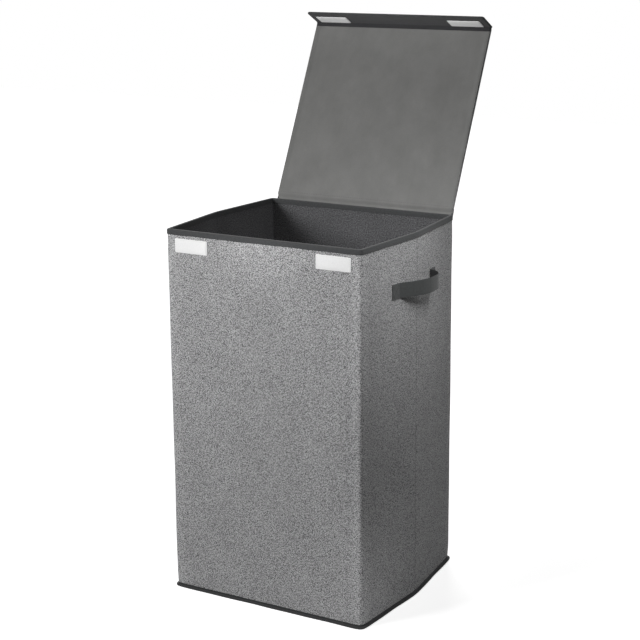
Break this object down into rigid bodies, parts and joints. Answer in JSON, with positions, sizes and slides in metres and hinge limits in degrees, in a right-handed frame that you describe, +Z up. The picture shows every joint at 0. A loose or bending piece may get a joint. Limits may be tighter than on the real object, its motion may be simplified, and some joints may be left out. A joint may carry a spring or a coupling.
{
  "type": "laundry hamper",
  "caption": "Tall square fabric laundry hamper with stiffened walls that fold flat, webbing side handles and a hinged lid with a front flap.",
  "frame": {"origin": "middle of the underside, on the surface the hamper stands on", "axes": "+X the hamper's right, +Y its back, +Z up"},
  "size_m": [0.4358, 0.4934, 0.9427],
  "materials": {
    "outer_fabric": "heathered grey woven polyester, matt",
    "stiffener_board": "plain chipboard",
    "black_lining": "black non-woven cloth, matt",
    "lid_lining": "grey non-woven cloth, matt",
    "binding_tape": "dark folded tape, matt",
    "webbing": "dark woven polyester webbing",
    "fastener_patch": "white hook-and-loop tape"
  },
  "bodies": {
    "back_wall": {"back_fabric": "outer_fabric", "back_board": "stiffener_board", "back_lining": "black_lining", "back_rim_tape": "binding_tape", "lid_seam_tape": "binding_tape", "base_cloth": "black_lining", "base_seam_binding": "binding_tape"},
    "base_board": {"base_board_cover": "black_lining", "base_board_panel": "stiffener_board"},
    "right_rear_wall": {"right_rear_fabric": "outer_fabric", "right_rear_board": "stiffener_board", "right_rear_lining": "black_lining", "right_rear_rim_tape": "binding_tape", "right_handle": "webbing"},
    "right_front_wall": {"right_front_fabric": "outer_fabric", "right_front_board": "stiffener_board", "right_front_lining": "black_lining", "right_front_rim_tape": "binding_tape"},
    "front_wall": {"front_fabric": "outer_fabric", "front_board": "stiffener_board", "front_lining": "black_lining", "front_rim_tape": "binding_tape", "left_loop_patch": "fastener_patch", "right_loop_patch": "fastener_patch"},
    "left_front_wall": {"left_front_fabric": "outer_fabric", "left_front_board": "stiffener_board", "left_front_lining": "black_lining", "left_front_rim_tape": "binding_tape"},
    "left_rear_wall": {"left_rear_fabric": "outer_fabric", "left_rear_board": "stiffener_board", "left_rear_lining": "black_lining", "left_rear_rim_tape": "binding_tape", "left_handle": "webbing"},
    "rear_flap": {"rear_flap": "outer_fabric"},
    "lid": {"lid_cover": "outer_fabric", "lid_board": "stiffener_board", "lid_lining": "lid_lining"},
    "front_flap": {"flap_cover": "outer_fabric", "flap_board": "stiffener_board", "flap_lining": "black_lining", "left_hook_patch": "fastener_patch", "right_hook_patch": "fastener_patch"}
  },
  "joints": [
    {"name": "wall_fold", "type": "hinge", "parent": "back_wall", "child": "right_rear_wall", "pos_m": [0.175, 0.154, 0], "axis": [0, 0, -1], "range_deg": [0, 90], "deforming": ["base_cloth", "base_seam_binding", "right_handle"]},
    {"name": "right_crease", "type": "hinge", "parent": "right_rear_wall", "child": "right_front_wall", "pos_m": [0.19432, 0, 0], "axis": [0, 0, 1], "range_deg": [0, 180]},
    {"name": "right_front_corner", "type": "hinge", "parent": "right_front_wall", "child": "front_wall", "pos_m": [0.175, -0.154, 0], "axis": [0, 0, -1], "range_deg": [0, 90]},
    {"name": "left_front_corner", "type": "hinge", "parent": "front_wall", "child": "left_front_wall", "pos_m": [-0.175, -0.154, 0], "axis": [0, 0, -1], "range_deg": [0, 90]},
    {"name": "left_rear_corner", "type": "hinge", "parent": "back_wall", "child": "left_rear_wall", "pos_m": [-0.175, 0.154, 0], "axis": [0, 0, 1], "range_deg": [0, 90], "deforming": ["left_handle"]},
    {"name": "base_board_lift", "type": "hinge", "parent": "back_wall", "child": "base_board", "pos_m": [0, 0.1547, 0.0015], "axis": [-1, 0, 0], "range_deg": [0, 90]},
    {"name": "rear_flap_hinge", "type": "hinge", "parent": "back_wall", "child": "rear_flap", "pos_m": [0, 0.1648, 0.6], "axis": [1, 0, 0], "range_deg": [-28.5, 26.5]},
    {"name": "lid_hinge", "type": "hinge", "parent": "rear_flap", "child": "lid", "pos_m": [0, 0.17604, 0.62255], "axis": [1, 0, 0], "range_deg": [-97, 90]},
    {"name": "front_flap_fold", "type": "hinge", "parent": "lid", "child": "front_flap", "pos_m": [0, 0.3257, 0.92271], "axis": [1, 0, 0], "range_deg": [-90, 0]}
  ],
  "couplings": [
    {"joint": "right_crease", "follows": "wall_fold", "ratio": 2},
    {"joint": "right_front_corner", "follows": "wall_fold", "ratio": 1},
    {"joint": "left_front_corner", "follows": "wall_fold", "ratio": 1},
    {"joint": "left_rear_corner", "follows": "wall_fold", "ratio": 1}
  ]
}
